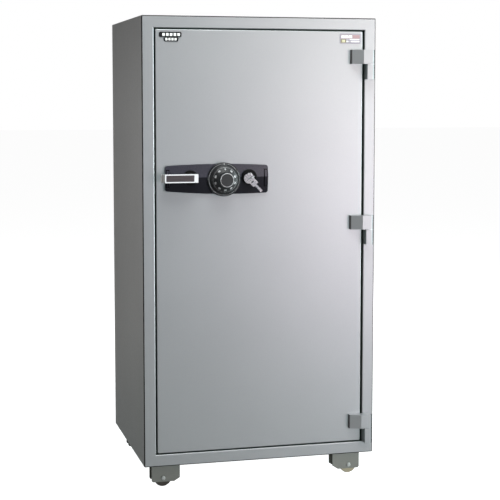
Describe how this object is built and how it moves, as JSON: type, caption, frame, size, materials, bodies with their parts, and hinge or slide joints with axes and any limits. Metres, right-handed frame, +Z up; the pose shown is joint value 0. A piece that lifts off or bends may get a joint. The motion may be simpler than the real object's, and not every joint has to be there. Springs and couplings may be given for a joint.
{
  "type": "fire-resistant safe cabinet",
  "caption": "Tall fire-resistant safe cabinet with a hinged door, combination dial, key lock, lever handle, sliding bolts, shelves and roller feet.",
  "frame": {"origin": "on the floor, under the middle of the whole object's box (the box reaches from the dial knob's face to the back panel)", "axes": "+Z up; the door faces -Y; +X is to the right when facing the door, where the hinges are"},
  "size_m": [0.68, 0.579, 1.335],
  "materials": {
    "casing_paint": "satin",
    "inner_paint": "satin",
    "foot_paint": "satin",
    "zinc_steel": "satin",
    "bolt_steel": "polished",
    "brass": "satin",
    "insulation": "matte",
    "seal": "matte",
    "escutcheon_plastic": "satin",
    "black_plastic": "satin",
    "handle_chrome": "polished",
    "handle_insert": "satin",
    "label": "satin",
    "roller_nylon": "satin"
  },
  "bodies": {
    "cabinet": {"back_panel": "casing_paint", "body_insulation": "insulation", "foot_bracket_front_left": "foot_paint", "foot_bracket_front_right": "foot_paint", "foot_bracket_rear_left": "foot_paint", "foot_bracket_rear_right": "foot_paint", "front_frame": "casing_paint", "hinge_knuckle_bottom": "casing_paint", "hinge_knuckle_middle": "casing_paint", "hinge_knuckle_top": "casing_paint", "hinge_pins": "zinc_steel", "hinge_washers": "zinc_steel", "inner_liner": "inner_paint", "outer_casing": "casing_paint", "roller_axles": "zinc_steel", "shelf_clips": "zinc_steel", "shelf_lower": "inner_paint", "shelf_middle": "inner_paint", "shelf_upper": "inner_paint"},
    "door": {"door_pan": "casing_paint", "door_insulation": "insulation", "door_plug_casing": "inner_paint", "door_inner_panel": "inner_paint", "panel_screws": "zinc_steel", "door_seal": "seal", "lock_mounting_plate": "zinc_steel", "hinge_leaf_top": "casing_paint", "hinge_leaf_middle": "casing_paint", "hinge_leaf_bottom": "casing_paint", "escutcheon": "escutcheon_plastic", "escutcheon_caps": "escutcheon_plastic", "dial_ring": "black_plastic", "handle_collar": "black_plastic", "key_collar": "black_plastic", "spindle_bush": "brass", "bolt_guides": "zinc_steel", "fixed_bolts": "bolt_steel", "combination_lock_case": "zinc_steel", "key_lock_case": "zinc_steel", "badge": "black_plastic", "rating_label": "label"},
    "handle": {"lever_handle": "handle_chrome", "handle_insert": "handle_insert", "handle_spindle": "zinc_steel", "handle_cam": "zinc_steel"},
    "boltwork": {"bolt_bar": "zinc_steel", "locking_bolts": "bolt_steel"},
    "dial_set": {"dial": "black_plastic", "dial_knob": "black_plastic", "dial_spindle": "zinc_steel", "wheel_pack": "brass"},
    "key_set": {"key_plug": "brass", "key": "bolt_steel", "key_ring": "bolt_steel", "key_cam": "zinc_steel"},
    "spare_key": {"spare_key": "bolt_steel"},
    "roller_front_left": {"roller_front_left": "roller_nylon"},
    "roller_front_right": {"roller_front_right": "roller_nylon"},
    "roller_rear_left": {"roller_rear_left": "roller_nylon"},
    "roller_rear_right": {"roller_rear_right": "roller_nylon"}
  },
  "joints": [
    {"name": "door_swing", "type": "hinge", "parent": "cabinet", "child": "door", "pos_m": [0.318, -0.2497, 0.7025], "axis": [0, 0, 1], "range_deg": [0, 170]},
    {"name": "handle_turn", "type": "hinge", "parent": "door", "child": "handle", "pos_m": [-0.2075, -0.2355, 0.887], "axis": [0, -1, 0], "range_deg": [0, 60]},
    {"name": "bolt_slide", "type": "slide", "parent": "door", "child": "boltwork", "axis": [-1, 0, 0], "range_m": [0, 0.025]},
    {"name": "dial_spin", "type": "hinge", "parent": "door", "child": "dial_set", "pos_m": [-0.1117, -0.2355, 0.881], "axis": [0, -1, 0], "continuous": true},
    {"name": "key_turn", "type": "hinge", "parent": "door", "child": "key_set", "pos_m": [-0.039, -0.2355, 0.8875], "axis": [0, -1, 0], "range_deg": [0, 90]},
    {"name": "spare_key_swing", "type": "hinge", "parent": "key_set", "child": "spare_key", "pos_m": [-0.0474, -0.2805, 0.88477], "axis": [0, -1, 0], "range_deg": [-90, 15]},
    {"name": "roller_front_left_roll", "type": "hinge", "parent": "cabinet", "child": "roller_front_left", "pos_m": [-0.279, -0.1765, 0.025], "axis": [0, 1, 0], "continuous": true},
    {"name": "roller_front_right_roll", "type": "hinge", "parent": "cabinet", "child": "roller_front_right", "pos_m": [0.279, -0.1765, 0.025], "axis": [0, 1, 0], "continuous": true},
    {"name": "roller_rear_left_roll", "type": "hinge", "parent": "cabinet", "child": "roller_rear_left", "pos_m": [-0.279, 0.2305, 0.025], "axis": [0, 1, 0], "continuous": true},
    {"name": "roller_rear_right_roll", "type": "hinge", "parent": "cabinet", "child": "roller_rear_right", "pos_m": [0.279, 0.2305, 0.025], "axis": [0, 1, 0], "continuous": true}
  ],
  "couplings": [
    {"joint": "bolt_slide", "follows": "handle_turn", "m_per_rad": 0.023873}
  ]
}
